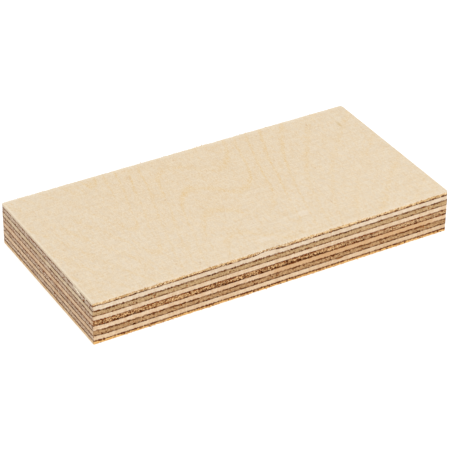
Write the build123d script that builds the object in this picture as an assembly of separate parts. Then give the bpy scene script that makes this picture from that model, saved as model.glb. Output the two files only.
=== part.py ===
"""Plywood shim block: a sawn rectangle of nine-ply birch plywood.

Rotary-cut birch veneers are bonded flat, each with its grain square to its
neighbours'. The grain of both faces runs across the block, so the odd plies show
end grain on the long sides and the even plies show it on the ends. The two face
veneers are thinner than the rest, because the pressed panel is sanded on both
sides. The saw leaves square edges, and a light sanding eases the upright corners
and the arris round each face.

Frame: X along the length, Y across the width, Z up, with the origin at the centre
of the underside. Millimetres.
"""

import os

from build123d import *

# Driving dimensions
BLOCK_LENGTH = 100.0  # along X
BLOCK_WIDTH = 50.0  # along Y
PLY_COUNT = 9  # odd, so that the build-up is balanced about its middle ply
INNER_VENEER = 1.40  # thickness of each ply between the faces
TOP_VENEER = 1.05  # face veneer, thinned by sanding
BOTTOM_VENEER = 0.85  # back veneer, sanded a little further
CORNER_RADIUS = 0.25  # upright corners, the same on every ply
TOP_ARRIS = 0.15  # rounding along the edge of the top face
BOTTOM_ARRIS = 0.10  # rounding along the edge of the underside

# Where the inner plies lie, which is also how high the block stands
INNER_STACK = (PLY_COUNT - 2) * INNER_VENEER
INNER_TOP = BOTTOM_VENEER + INNER_STACK
BLOCK_HEIGHT = INNER_TOP + TOP_VENEER

PARTS_FOLDER = "parts"


def veneer(thickness, underside):
    """One flat veneer, trimmed to the block's outline, with its lower face at a height."""
    outline = RectangleRounded(BLOCK_LENGTH, BLOCK_WIDTH, CORNER_RADIUS)
    return Pos(0, 0, underside) * extrude(outline, amount=thickness)


def top_face_veneer():
    """The veneer on top, with its upper arris rounded over."""
    sheet = veneer(TOP_VENEER, INNER_TOP)
    arris = sheet.faces().sort_by(Axis.Z)[-1].edges()
    return fillet(arris, TOP_ARRIS)


def bottom_face_veneer():
    """The veneer that the block lies on, with its lower arris rounded over."""
    sheet = veneer(BOTTOM_VENEER, 0)
    arris = sheet.faces().sort_by(Axis.Z)[0].edges()
    return fillet(arris, BOTTOM_ARRIS)


def inner_plies():
    """The square-edged plies between the faces, numbered from the top, by node name."""
    plies = {}
    for number in range(2, PLY_COUNT):
        grain = "lengthwise" if number % 2 == 0 else "crosswise"
        underside = INNER_TOP - (number - 1) * INNER_VENEER
        plies[f"{grain}_ply_{number}"] = veneer(INNER_VENEER, underside)
    return plies


def build_block():
    """Every ply of the block, by node name, from the top down."""
    return {
        "top_face_veneer": top_face_veneer(),
        **inner_plies(),
        "bottom_face_veneer": bottom_face_veneer(),
    }


os.makedirs(PARTS_FOLDER, exist_ok=True)
for node, ply in build_block().items():
    ply.label = node
    export_step(ply, os.path.join(PARTS_FOLDER, f"{node}.step"))
    size = ply.bounding_box().size
    print(f"{node}: {size.X:.2f} x {size.Y:.2f} x {size.Z:.2f} mm")
print(f"block height {BLOCK_HEIGHT:.2f} mm")
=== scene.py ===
# %% [markdown]
# # A sawn block of birch plywood
#
# The object is a small shim block, sawn from a board of nine-ply birch plywood. Each ply is a
# thin birch veneer, and its grain lies square to the grain of its neighbours. That is why the
# sawn sides are striped: a veneer cut across its fibres looks brown and rough, and a veneer cut
# along them looks pale and smooth.
#
# The frame holds the nine plies at their real size. Here each of them gets the surface that the
# saw, the sander and the press leave on it.

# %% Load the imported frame
import math
import random

import bmesh
import bpy
from mathutils import Color, Matrix, Vector, noise


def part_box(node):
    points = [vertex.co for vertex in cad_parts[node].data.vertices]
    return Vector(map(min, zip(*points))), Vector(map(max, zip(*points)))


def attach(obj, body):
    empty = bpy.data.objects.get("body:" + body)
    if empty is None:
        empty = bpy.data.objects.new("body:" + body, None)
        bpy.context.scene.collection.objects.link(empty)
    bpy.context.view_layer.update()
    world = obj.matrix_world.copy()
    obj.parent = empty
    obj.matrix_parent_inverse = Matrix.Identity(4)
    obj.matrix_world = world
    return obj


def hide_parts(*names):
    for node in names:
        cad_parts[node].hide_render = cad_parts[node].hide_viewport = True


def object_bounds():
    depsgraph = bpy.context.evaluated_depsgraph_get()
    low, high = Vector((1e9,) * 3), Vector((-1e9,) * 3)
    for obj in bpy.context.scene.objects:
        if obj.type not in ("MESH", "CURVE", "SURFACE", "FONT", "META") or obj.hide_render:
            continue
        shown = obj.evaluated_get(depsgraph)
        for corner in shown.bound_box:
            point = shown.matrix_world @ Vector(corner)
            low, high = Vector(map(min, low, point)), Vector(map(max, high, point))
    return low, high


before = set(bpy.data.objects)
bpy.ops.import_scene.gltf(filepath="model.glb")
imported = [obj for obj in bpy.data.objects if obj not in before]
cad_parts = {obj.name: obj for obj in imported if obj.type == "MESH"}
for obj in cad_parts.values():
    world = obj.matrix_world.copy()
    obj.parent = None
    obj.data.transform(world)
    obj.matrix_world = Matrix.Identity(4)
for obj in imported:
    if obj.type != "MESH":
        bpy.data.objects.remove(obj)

CAD_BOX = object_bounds()
MM = 0.001

PLIES = sorted(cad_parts, key=lambda node: -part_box(node)[0].z)
TOP_PLY = PLIES[0]
BOTTOM_PLY = PLIES[-1]
BLOCK_LENGTH = (CAD_BOX[1].x - CAD_BOX[0].x) / MM
BLOCK_WIDTH = (CAD_BOX[1].y - CAD_BOX[0].y) / MM
BLOCK_HEIGHT = CAD_BOX[1].z / MM
print(f"{len(PLIES)} plies in a block of {BLOCK_LENGTH:.1f} x {BLOCK_WIDTH:.1f} x {BLOCK_HEIGHT:.1f} mm")

# %% [markdown]
# ## The camera
#
# The photograph was taken with a long lens from the front left, about a third of the way up to
# straight overhead. The camera could be aimed with a constraint, but writing its three axes down
# shows what each number does. It looks back along one axis, and a small roll tilts the other two.

# %% Set up the camera
CAMERA_AZIMUTH = math.radians(-30.08)
CAMERA_ELEVATION = math.radians(32.987)
CAMERA_ROLL = math.radians(0.394)
CAMERA_DISTANCE = 520.71 * MM
CAMERA_SIDESTEP = -0.237 * MM
CAMERA_RISE = 2.847 * MM
CAMERA_LENS = 164.91
SENSOR_WIDTH = 36.0


def camera_axes():
    """The camera's right, up and back directions."""
    level = math.cos(CAMERA_ELEVATION)
    back = Vector((
        math.sin(CAMERA_AZIMUTH) * level,
        -math.cos(CAMERA_AZIMUTH) * level,
        math.sin(CAMERA_ELEVATION),
    ))
    right = Vector((math.cos(CAMERA_AZIMUTH), math.sin(CAMERA_AZIMUTH), 0))
    up = back.cross(right)
    rolled_right = right * math.cos(CAMERA_ROLL) + up * math.sin(CAMERA_ROLL)
    rolled_up = up * math.cos(CAMERA_ROLL) - right * math.sin(CAMERA_ROLL)
    return rolled_right, rolled_up, back


def add_camera():
    """A camera that sees the block as the photograph does."""
    right, up, back = camera_axes()
    lens = bpy.data.cameras.new("camera")
    lens.lens = CAMERA_LENS
    lens.sensor_width = SENSOR_WIDTH
    camera = bpy.data.objects.new("camera", lens)
    turn = Matrix((right, up, back)).transposed().to_4x4()
    place = back * CAMERA_DISTANCE + right * CAMERA_SIDESTEP + up * CAMERA_RISE
    camera.matrix_world = Matrix.Translation(place) @ turn
    bpy.context.scene.collection.objects.link(camera)
    bpy.context.scene.camera = camera
    return camera


camera = add_camera()
print(f"camera {camera.location.length / MM:.0f} mm from the block, lens {CAMERA_LENS:.0f} mm")

# %% [markdown]
# ## Floor and light
#
# The photograph shows the block on plain white, with no shadow. Small goods are often photographed
# like that on a light table, a pale sheet that is lit from below. A floor that glows does the same
# here: it lights the lower plies and fills the shadow. Over it lie an even sky and one large soft
# lamp at the front, which makes the long side a little brighter than the short one.

# %% Lay the floor and light it
FLOOR_REACH = 4.0
FLOOR_PALE = (0.35, 0.35, 0.35, 1.0)
FLOOR_ROUGHNESS = 0.9
FLOOR_GLOW = 0.78
WHITE = (1.0, 1.0, 1.0, 1.0)
SKY_STRENGTH = 0.90
KEY_POWER = 5.2
KEY_SIZE = 0.7
KEY_PLACE = Vector((0.22, -0.80, 0.72))
KEY_WARMTH = (1.0, 0.985, 0.96)


def add_floor():
    """A wide light table under the block."""
    sheet = bpy.data.meshes.new("floor")
    bm = bmesh.new()
    bmesh.ops.create_grid(bm, x_segments=1, y_segments=1, size=FLOOR_REACH)
    bm.to_mesh(sheet)
    bm.free()
    floor = bpy.data.objects.new("floor", sheet)
    bpy.context.scene.collection.objects.link(floor)
    paint = bpy.data.materials.new("floor_white")
    paint.use_nodes = True
    surface = paint.node_tree.nodes["Principled BSDF"]
    surface.inputs["Base Color"].default_value = FLOOR_PALE
    surface.inputs["Roughness"].default_value = FLOOR_ROUGHNESS
    surface.inputs["Specular IOR Level"].default_value = 0.0
    surface.inputs["Emission Color"].default_value = WHITE
    surface.inputs["Emission Strength"].default_value = FLOOR_GLOW
    sheet.materials.append(paint)
    return floor


def add_light():
    """An even sky and one large soft lamp."""
    sky = bpy.data.worlds.new("studio")
    sky.use_nodes = True
    sky.node_tree.nodes["Background"].inputs["Color"].default_value = WHITE
    sky.node_tree.nodes["Background"].inputs["Strength"].default_value = SKY_STRENGTH
    bpy.context.scene.world = sky
    lamp = bpy.data.lights.new("key", "AREA")
    lamp.energy = KEY_POWER
    lamp.size = KEY_SIZE
    lamp.color = KEY_WARMTH
    key = bpy.data.objects.new("key", lamp)
    key.location = KEY_PLACE
    key.rotation_mode = "QUATERNION"
    key.rotation_quaternion = (-KEY_PLACE).to_track_quat("-Z", "Y")
    bpy.context.scene.collection.objects.link(key)
    return key


floor = add_floor()
key = add_light()
bpy.context.scene.view_settings.view_transform = "Standard"
print(f"{floor.name} {2 * FLOOR_REACH:.0f} m wide, lamp {key.location.length:.2f} m away")

# %% [markdown]
# ## A short way to write nodes
#
# A shader is a tree of small nodes. Written out in full, every node takes several lines, so this
# small helper gives each common node one word. A value may be a plain number or the output of
# another node, and the helper wires it or sets it.

# %% The node bench
# A Mix node has sockets for each kind of data, and these are the ones for colours
COLOUR_INPUTS = (6, 7)
COLOUR_OUTPUT = 2


class Bench:
    """A node tree, with one word for each node that the wood needs."""

    def __init__(self, tree):
        self.tree = tree

    def add(self, kind, **settings):
        """A new node with its settings."""
        node = self.tree.nodes.new(kind)
        for name, value in settings.items():
            setattr(node, name, value)
        return node

    def feed(self, socket, value):
        """Wires an output into a socket, or sets a plain value on it."""
        if isinstance(value, bpy.types.NodeSocket):
            self.tree.links.new(value, socket)
        else:
            socket.default_value = value

    def math(self, operation, first, second=0.0):
        """One operation on two values."""
        node = self.add("ShaderNodeMath", operation=operation)
        self.feed(node.inputs[0], first)
        self.feed(node.inputs[1], second)
        return node.outputs[0]

    def times(self, first, second):
        """The product of two values."""
        return self.math("MULTIPLY", first, second)

    def plus(self, first, second):
        """Two values together."""
        return self.math("ADD", first, second)

    def blend(self, share, first, second):
        """A share of the first value and the rest of the second."""
        return self.plus(self.times(first, share), self.times(second, 1.0 - share))

    def stretch(self, vector, scales):
        """A vector multiplied along each axis."""
        node = self.add("ShaderNodeVectorMath", operation="MULTIPLY")
        self.feed(node.inputs[0], vector)
        self.feed(node.inputs[1], scales)
        return node.outputs[0]

    def axes(self, vector):
        """The three parts of a vector, by the letter of their axis."""
        node = self.add("ShaderNodeSeparateXYZ")
        self.feed(node.inputs[0], vector)
        return node.outputs

    def noise(self, vector, detail=2.0, roughness=0.5):
        """Cloudy noise from 0 to 1, about one lump for each unit of the vector."""
        node = self.add("ShaderNodeTexNoise")
        self.feed(node.inputs["Vector"], vector)
        node.inputs["Scale"].default_value = 1.0
        node.inputs["Detail"].default_value = detail
        node.inputs["Roughness"].default_value = roughness
        return node.outputs[0]

    def cells(self, vector):
        """The distance to the nearest of many scattered points, and that point's own luck."""
        node = self.add("ShaderNodeTexVoronoi")
        self.feed(node.inputs["Vector"], vector)
        node.inputs["Scale"].default_value = 1.0
        split = self.add("ShaderNodeSeparateColor")
        self.feed(split.inputs[0], node.outputs["Color"])
        return node.outputs["Distance"], split.outputs[0]

    def ramp(self, value, start, end, low=0.0, high=1.0):
        """A smooth step from low to high while the value goes from start to end."""
        node = self.add("ShaderNodeMapRange", interpolation_type="SMOOTHSTEP")
        self.feed(node.inputs["Value"], value)
        self.feed(node.inputs["From Min"], start)
        self.feed(node.inputs["From Max"], end)
        self.feed(node.inputs["To Min"], low)
        self.feed(node.inputs["To Max"], high)
        return node.outputs[0]

    def fall(self, value, start, end):
        """A smooth step from 1 down to 0 while the value goes from start to end."""
        return self.ramp(value, start, end, low=1.0, high=0.0)

    def between(self, share, low, high):
        """A value that goes smoothly from low to high while a share goes from 0 to 1."""
        return self.ramp(share, 0.0, 1.0, low, high)

    def mix(self, share, first, second):
        """A colour between two colours."""
        node = self.add("ShaderNodeMix", data_type="RGBA")
        self.feed(node.inputs[0], share)
        for socket, colour in zip(COLOUR_INPUTS, (first, second)):
            self.feed(node.inputs[socket], colour)
        return node.outputs[COLOUR_OUTPUT]

    def curve(self, value, points):
        """A smooth line through given points, both ways from 0 to 1."""
        node = self.add("ShaderNodeFloatCurve")
        line = node.mapping.curves[0]
        line.points[0].location = points[0]
        line.points[1].location = points[-1]
        for across, up in points[1:-1]:
            line.points.new(across, up)
        node.mapping.update()
        self.feed(node.inputs["Value"], value)
        return node.outputs[0]

    def attribute(self, name):
        """A value that the mesh carries at each of its points."""
        return self.add("ShaderNodeAttribute", attribute_name=name).outputs["Fac"]

    def place(self, group, **values):
        """A node group, with its inputs wired or set."""
        node = self.add("ShaderNodeGroup", node_tree=group)
        for name, value in values.items():
            self.feed(node.inputs[name], value)
        return node.outputs


def new_group(name, inputs, outputs):
    """An empty shader group with a vector and named values, and the bench to fill it."""
    group = bpy.data.node_groups.new(name, "ShaderNodeTree")
    group.interface.new_socket("Vector", in_out="INPUT", socket_type="NodeSocketVector")
    for socket in inputs:
        group.interface.new_socket(socket, in_out="INPUT", socket_type="NodeSocketFloat")
    for socket in outputs:
        group.interface.new_socket(socket, in_out="OUTPUT", socket_type="NodeSocketFloat")
    bench = Bench(group)
    given = bench.add("NodeGroupInput").outputs
    result = bench.add("NodeGroupOutput").inputs
    return group, bench, given, result


print("node bench ready")

# %% [markdown]
# ## Wood along the fibres
#
# Where the saw or the peeling knife runs along the fibres, birch shows fine streaks: pale fibres
# and slightly darker open vessels. A wave texture could draw them, but its lines are too regular.
# A noise that is stretched a long way along the grain gives both. The group takes a vector whose
# X runs along the grain, so one group serves every ply.

# %% Group: fibre streaks
# Each of these scales says how many lumps of a noise fit in a metre along X, Y and Z
FINE_FIBRE = (90.0, 3600.0, 3600.0)
BROAD_FIBRE = (16.0, 620.0, 620.0)
FINE_SHARE = 0.55
STREAK_SPAN = (0.32, 0.68)


def fibre_streaks():
    """Streaks of pale and darker fibre along X."""
    group, bench, given, result = new_group("Fibre Streaks", [], ["Streak", "Height"])
    fine = bench.noise(bench.stretch(given["Vector"], FINE_FIBRE), detail=3.0)
    broad = bench.noise(bench.stretch(given["Vector"], BROAD_FIBRE))
    bench.feed(result["Streak"], bench.ramp(bench.blend(FINE_SHARE, fine, broad), *STREAK_SPAN))
    bench.feed(result["Height"], fine)
    return group


FIBRE_STREAKS = fibre_streaks()
print(f"{FIBRE_STREAKS.name}: {len(FIBRE_STREAKS.nodes)} nodes")

# %% [markdown]
# ## Wood across the fibres
#
# Sawn across, the same fibres show as a rough field of cut ends. Three things make its pattern:
# small clumps that the saw tore or crushed, pores, which are the cut vessels, and growth rings.
# A veneer is peeled round the log, so its rings lie nearly flat and show as thin level lines.
# Noise gives the clumps and the rings. The pores are scattered cells with ragged rims, and each
# cell's luck decides whether it is open, so there are more of them where the saw tears more.

# %% Group: end grain
CLUMPS = (3500.0, 3500.0, 3300.0)
CLUMP_SHARE = 0.80
RINGS = (45.0, 45.0, 2600.0)
TONE_SPAN = (0.41, 0.59)
PORES = (2000.0, 2000.0, 2350.0)
PORE_RAGGED = 0.5
PORE_RIM = (0.61, 0.74)
PORE_DEPTH = 0.5
PATCHES = (130.0, 130.0, 260.0)
PATCH_SPAN = (0.40, 0.62)


def end_grain():
    """Clumps, pores and level growth rings on a face cut across the fibres."""
    group, bench, given, result = new_group("End Grain", ["Tear"], ["Tone", "Pores", "Patch", "Height"])
    clumps = bench.noise(bench.stretch(given["Vector"], CLUMPS), detail=1.5)
    rings = bench.noise(bench.stretch(given["Vector"], RINGS))
    patch = bench.noise(bench.stretch(given["Vector"], PATCHES))
    distance, luck = bench.cells(bench.stretch(given["Vector"], PORES))
    ragged = bench.plus(distance, bench.times(clumps, PORE_RAGGED))
    is_open = bench.math("LESS_THAN", luck, given["Tear"])
    pores = bench.times(bench.fall(ragged, *PORE_RIM), is_open)
    bench.feed(result["Tone"], bench.ramp(bench.blend(CLUMP_SHARE, clumps, rings), *TONE_SPAN))
    bench.feed(result["Pores"], pores)
    bench.feed(result["Patch"], bench.ramp(patch, *PATCH_SPAN))
    bench.feed(result["Height"], bench.math("SUBTRACT", clumps, bench.times(pores, PORE_DEPTH)))
    return group


END_GRAIN = end_grain()
print(f"{END_GRAIN.name}: {len(END_GRAIN.nodes)} nodes")

# %% [markdown]
# ## Glue lines
#
# Between two plies lies a film of brown glue, which soaks a little way into the cut fibres. It
# could be a thin sheet of its own, but it has no edge that shows, so it is a stain. The meshes
# carry, at each point, how far it lies from the glue above it and below it. The brown line
# follows those distances, so it wanders wherever the plies wander. One noise makes it wider and
# narrower, and a second breaks it here and there. Small scattered cells make dark spots in it,
# where the saw tore out fibres: the spots have no depth in the mesh, so they are painted shadows
# of tiny pits. The lowest line is more even than the others and has fewer spots.

# %% Group: glue line
GLUE_UNEVEN = (2400.0, 2400.0, 900.0)
WIDTH_SPAN = (0.34, 0.66)
GLUE_WIDTHS = (0.45, 1.5)
GLUE_BREAKS = (600.0, 600.0, 400.0)
BREAK_SPAN = (0.40, 0.56)
GLUE_SPOTS = (1700.0, 1700.0, 2600.0)
SPOT_RAGGED = 0.5
SPOT_RIM = (0.62, 0.78)
SPOT_STRETCHES = (0.36, 0.60)
SPOTS_KEPT = (0.25, 0.95)
EVEN_SPOTS = 0.3
GLUE_CORE = 0.60
# The line under long grain and over end grain reaches further and breaks less than the others: partly the
# glue itself, and partly painted shadow under the long-grain ply, which stands a little proud. The
# fainter lines are partly painted light on the ledge of the long-grain ply below them.
GLUE_SIDES = {
    # how many millimetres the film reaches into the ply, and how much of it a break leaves, both
    # for long grain and then for end grain
    "Above": ((0.14, 0.36), (0.60, 0.38)),
    "Below": ((0.28, 0.36), (0.80, 0.15)),
}


def glue_line():
    """The brown film of glue along both faces of a ply, and its dark spots of painted pit shadow."""
    group, bench, given, result = new_group(
        "Glue Line", ["Below", "Above", "End Grain", "Lower", "Even"], ["Film", "Spots"]
    )
    uneven = bench.noise(bench.stretch(given["Vector"], GLUE_UNEVEN))
    breaks = bench.noise(bench.stretch(given["Vector"], GLUE_BREAKS), detail=3.0, roughness=0.6)
    distance, luck = bench.cells(bench.stretch(given["Vector"], GLUE_SPOTS))
    ragged = bench.plus(distance, bench.times(uneven, SPOT_RAGGED))
    kept = bench.math("LESS_THAN", luck, bench.ramp(breaks, *SPOT_STRETCHES, *SPOTS_KEPT))
    spots = bench.times(kept, bench.fall(ragged, *SPOT_RIM))
    width = bench.ramp(uneven, *WIDTH_SPAN, *GLUE_WIDTHS)
    films = {}
    for gap, (reaches, left_over) in GLUE_SIDES.items():
        reach = bench.times(bench.between(given["End Grain"], *reaches), width)
        whole = bench.fall(given[gap], bench.times(reach, GLUE_CORE), reach)
        thin = bench.math("MAXIMUM", bench.between(given["End Grain"], *left_over), given["Even"])
        films[gap] = bench.times(whole, bench.ramp(breaks, *BREAK_SPAN, low=thin))
    film = bench.math("MAXIMUM", films["Above"], bench.times(films["Below"], given["Lower"]))
    shown = bench.times(spots, bench.between(given["Even"], 1.0, EVEN_SPOTS))
    bench.feed(result["Film"], film)
    bench.feed(result["Spots"], bench.times(film, shown))
    return group


GLUE_LINE = glue_line()
print(f"{GLUE_LINE.name}: {len(GLUE_LINE.nodes)} nodes")

# %% [markdown]
# ## Marks of the saw
#
# A circular saw leaves faint upright bands on the sides, from one tooth to the next, and lifts
# fine fuzz on the long grain. The bands vary along the side and hardly at all with height, and a
# noise that is stretched upwards gives that. A second, finer noise is the fuzz. Both are too
# shallow to model, so they only change the colour.

# %% Group: saw marks
SAW_BANDS = (620.0, 620.0, 28.0)
SAW_SPAN = (0.36, 0.64)
SAW_FUZZ = (2200.0, 2200.0, 1500.0)
SAW_FUZZ_SHARE = 2.4
NOISE_MIDDLE = 0.5


def saw_marks():
    """Faint upright bands and fine fuzz on the sawn sides."""
    group, bench, given, result = new_group("Saw Marks", [], ["Band"])
    bands = bench.noise(bench.stretch(given["Vector"], SAW_BANDS), detail=3.0, roughness=0.6)
    fuzz = bench.noise(bench.stretch(given["Vector"], SAW_FUZZ), detail=1.0)
    lifted = bench.times(bench.math("SUBTRACT", fuzz, NOISE_MIDDLE), SAW_FUZZ_SHARE)
    bench.feed(result["Band"], bench.plus(bench.ramp(bands, *SAW_SPAN), lifted))
    return group


SAW_MARKS = saw_marks()
print(f"{SAW_MARKS.name}: {len(SAW_MARKS.nodes)} nodes")

# %% [markdown]
# ## The figure of a peeled face
#
# The two outer veneers show their broad faces. The knife peels them round the log, so it cuts each
# growth ring at a very flat angle, and the rings spread into wide wavy lines, like the contours on
# a map. A curve with a few given points gives the line of one ring across the face, and the
# others follow it at even distances, bent a little by noise. Each ring darkens slowly and ends
# sharply. Over this lie a fine mottle, grit, short dashes where the knife opened a vessel, a few
# flecks, and very fine scratches from the sander, which run along the block.

# %% Group: face figure
RING_LINE = [
    # places along the block, and how far the line of a ring has risen there, both from 0 to 1
    (0.0, 0.47), (0.10, 0.30), (0.19, 0.15), (0.23, 0.0), (0.27, 0.085), (0.34, 0.275),
    (0.43, 0.438), (0.57, 0.392), (0.65, 0.54), (0.70, 0.67), (0.76, 0.78), (1.0, 1.0),
]
CURVE_MIDDLE = 0.5
RING_LINE_RISE = 131.0
RING_SPACING = 12.0
RING_OFFSET = -7.3
RING_START = 0.64
RING_CREST = 0.88
RING_BEND = (38.0, 75.0, 30.0)
RING_BEND_DEPTH = 7.0
RING_FADE = (45.0, 60.0, 30.0)
RING_FADE_SPAN = (0.27, 0.53)
RING_GAP_SPAN = (0.34, 0.60)
RING_GAP_LEAST = 0.6
FACE_PATTERNS = {
    # lumps in a metre each way, the noise's detail and roughness, and the part of it that shows
    "Mottle": ((700.0, 1500.0, 300.0), 3.0, 0.6, (0.38, 0.66)),
    "Grit": ((2600.0, 4000.0, 900.0), 2.0, 0.5, (0.43, 0.57)),
    "Vessel": ((300.0, 3600.0, 300.0), 2.0, 0.5, (0.56, 0.74)),
    "Fleck": ((420.0, 1500.0, 300.0), 2.0, 0.5, (0.71, 0.78)),
    "Scratch": ((3300.0, 190.0, 60.0), 2.0, 0.5, (0.36, 0.64)),
}


def ring_lines(bench, vector):
    """Growth rings as wavy lines across a peeled face: each darkens slowly and ends sharply."""
    axes = bench.axes(vector)
    across = bench.plus(bench.math("DIVIDE", axes["Y"], BLOCK_LENGTH * MM), CURVE_MIDDLE)
    line = bench.times(bench.curve(across, RING_LINE), RING_LINE_RISE)
    swerve = bench.times(bench.noise(bench.stretch(vector, RING_BEND), detail=3.0), RING_BEND_DEPTH)
    along = bench.math("DIVIDE", axes["X"], MM)
    reach = bench.plus(bench.plus(along, line), bench.plus(swerve, RING_OFFSET))
    phase = bench.math("FRACT", bench.math("DIVIDE", reach, RING_SPACING))
    return bench.times(bench.ramp(phase, RING_START, RING_CREST), bench.fall(phase, RING_CREST, 1.0))


def face_figure():
    """Ring lines, mottle, grit, vessel dashes, flecks and sanding scratches on a peeled face."""
    group, bench, given, result = new_group("Face Figure", [], ["Ring", *FACE_PATTERNS])
    vector = given["Vector"]
    patterns = {}
    for name, (scales, detail, roughness, span) in FACE_PATTERNS.items():
        patterns[name] = bench.noise(bench.stretch(vector, scales), detail, roughness)
        bench.feed(result[name], bench.ramp(patterns[name], *span))
    fade = bench.ramp(bench.noise(bench.stretch(vector, RING_FADE)), *RING_FADE_SPAN)
    gaps = bench.ramp(patterns["Mottle"], *RING_GAP_SPAN, low=RING_GAP_LEAST)
    bench.feed(result["Ring"], bench.times(ring_lines(bench, vector), bench.times(fade, gaps)))
    return group


FACE_FIGURE = face_figure()
print(f"{FACE_FIGURE.name}: {len(FACE_FIGURE.nodes)} nodes")

# %% [markdown]
# ## Sawn wood
#
# A ply shows both kinds of wood: on two of its sides the saw runs along the fibres, and on the
# other two it cuts across them. A picture of wood could be laid on each side, but the groups above
# fit any side. A Mapping node swings the ply's own fibre direction on to X before they see it.
# Torn wood turns red-brown where it is torn a little. Where a pit or an open pore is deep, it is
# painted nearly black: a painted shadow in the hollow.

# %% Long grain, end grain and tears
SCREEN_WHITE = 255
QUARTER_TURN = math.radians(90)
STREAK_SHARE = 0.6
BAND_SHARE = 0.5
SHALLOW_TEAR = (0.0, 0.5)
PIT_SHADOW_DEPTHS = (0.35, 1.0)


def shade(red, green, blue):
    """A colour as a screen shows it, from 0 to 255, turned into the shader's linear light."""
    shown = Color([value / SCREEN_WHITE for value in (red, green, blue)])
    return (*shown.from_srgb_to_scene_linear(), 1.0)


# torn wood's own red-brown, and the nearly black painted shadow of deep pits, pores and glue-line spots
TORN_BROWN = shade(150, 86, 36)
PIT_SHADOW_BROWN = shade(60, 15, 0)


def runs_lengthwise(node):
    """True for a ply whose grain runs along the block."""
    return node.startswith("lengthwise")


def grain_vector(bench, node):
    """Object coordinates, as they are and turned so that X runs along this ply's grain."""
    place = bench.add("ShaderNodeTexCoord").outputs["Object"]
    turn = bench.add("ShaderNodeMapping")
    bench.feed(turn.inputs["Vector"], place)
    if not runs_lengthwise(node):
        turn.inputs["Rotation"].default_value = (0.0, 0.0, QUARTER_TURN)
    return place, turn.outputs[0]


def long_grain_colour(bench, vector, place, pale, warm):
    """Pale fibres with warmer streaks, saw bands and fuzz."""
    streak = bench.place(FIBRE_STREAKS, Vector=vector)["Streak"]
    band = bench.place(SAW_MARKS, Vector=place)["Band"]
    share = bench.plus(bench.times(streak, STREAK_SHARE), bench.times(band, BAND_SHARE))
    return bench.mix(share, pale, warm)


def end_grain_colour(bench, grain, pale, dark, gold, gold_share):
    """Cut fibre ends: dark and pale clumps and golden patches."""
    tone = bench.mix(grain["Tone"], dark, pale)
    return bench.mix(bench.times(grain["Patch"], gold_share), tone, gold)


def torn_and_shadowed_colour(bench, depth, wood):
    """Red-brown where wood is torn a little, and painted shadow, nearly black, where a pit or pore is
    deep.
    """
    shallow = bench.mix(bench.ramp(depth, *SHALLOW_TEAR), wood, TORN_BROWN)
    return bench.mix(bench.ramp(depth, *PIT_SHADOW_DEPTHS), shallow, PIT_SHADOW_BROWN)


print(f"{sum(runs_lengthwise(node) for node in PLIES)} plies have their grain along the block")

# %% [markdown]
# ## Glue, tears and relief
#
# The glue covers the cut wood, and pits and pores open through it, so the colours are laid in that
# order. The relief of single fibres is finer than the meshes, and a Bump node tilts the light for
# it instead. Bare wood is dull, with hardly any sheen.

# %% Finish of the sawn wood
SPOT_SHARES = (0.70, 0.9)
BUMP_STRENGTH = 0.8
FIBRE_BUMP = 0.02 * MM
END_BUMP = 0.10 * MM
WOOD_ROUGHNESS = 0.68
WOOD_GLOSS = 0.05


def new_material(name):
    """A new material and the bench to fill it."""
    paint = bpy.data.materials.new(name)
    paint.use_nodes = True
    return paint, Bench(paint.node_tree)


def wood_surface(bench, colour):
    """The shader of bare wood in a colour."""
    surface = bench.tree.nodes["Principled BSDF"]
    bench.feed(surface.inputs["Base Color"], colour)
    surface.inputs["Roughness"].default_value = WOOD_ROUGHNESS
    surface.inputs["Specular IOR Level"].default_value = WOOD_GLOSS
    return surface


def glue_lines(bench, place, share, wood, glue, lower, even):
    """Wood under its glue: wide lines on end grain, thin ones on long grain."""
    line = bench.place(
        GLUE_LINE,
        Vector=place,
        Below=bench.attribute("over_base"),
        Above=bench.attribute("under_top"),
        Lower=bench.between(share, 1.0, lower),
        Even=even,
        **{"End Grain": share},
    )
    glued = bench.mix(line["Film"], wood, glue)
    # the dark spots are painted shadows of tiny torn pits that the mesh doesn't have
    return bench.mix(bench.times(line["Spots"], bench.between(share, *SPOT_SHARES)), glued, PIT_SHADOW_BROWN)


def sawn_finish(bench, place, vector, along, across, grain, pores, glue, lower, even=0.0):
    """Long grain and end grain together, under their glue, tears and relief."""
    share = bench.attribute("end_grain")
    glued = glue_lines(bench, place, share, bench.mix(share, along, across), glue, lower, even)
    # open pores and pits darken with their depth: red-brown torn wood, then painted shadow
    open_pores = bench.times(bench.times(grain["Pores"], pores), share)
    torn = torn_and_shadowed_colour(bench, bench.math("MAXIMUM", bench.attribute("pit"), open_pores), glued)
    fibres = bench.times(bench.place(FIBRE_STREAKS, Vector=vector)["Height"], FIBRE_BUMP / END_BUMP)
    bump = bench.add("ShaderNodeBump")
    bump.inputs["Strength"].default_value = BUMP_STRENGTH
    bump.inputs["Distance"].default_value = END_BUMP
    bench.feed(bump.inputs["Height"], bench.plus(fibres, bench.times(grain["Height"], share)))
    surface = wood_surface(bench, torn)
    bench.feed(surface.inputs["Normal"], bump.outputs["Normal"])


print(f"relief of {END_BUMP / MM:.2f} mm on end grain and {FIBRE_BUMP / MM:.2f} mm along the fibres")

# %% [markdown]
# ## One material for each ply
#
# Every ply comes from another part of the log, so each has its own tints. Three have a mark of
# their own on the long sides: the right end of ply 5 is dusty and greyer, a long stretch of ply 6
# is amber, and ply 8 has one small brown gum mark. A painted mask could place them, but a soft spot
# or stretch needs only its place and its size.

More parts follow.
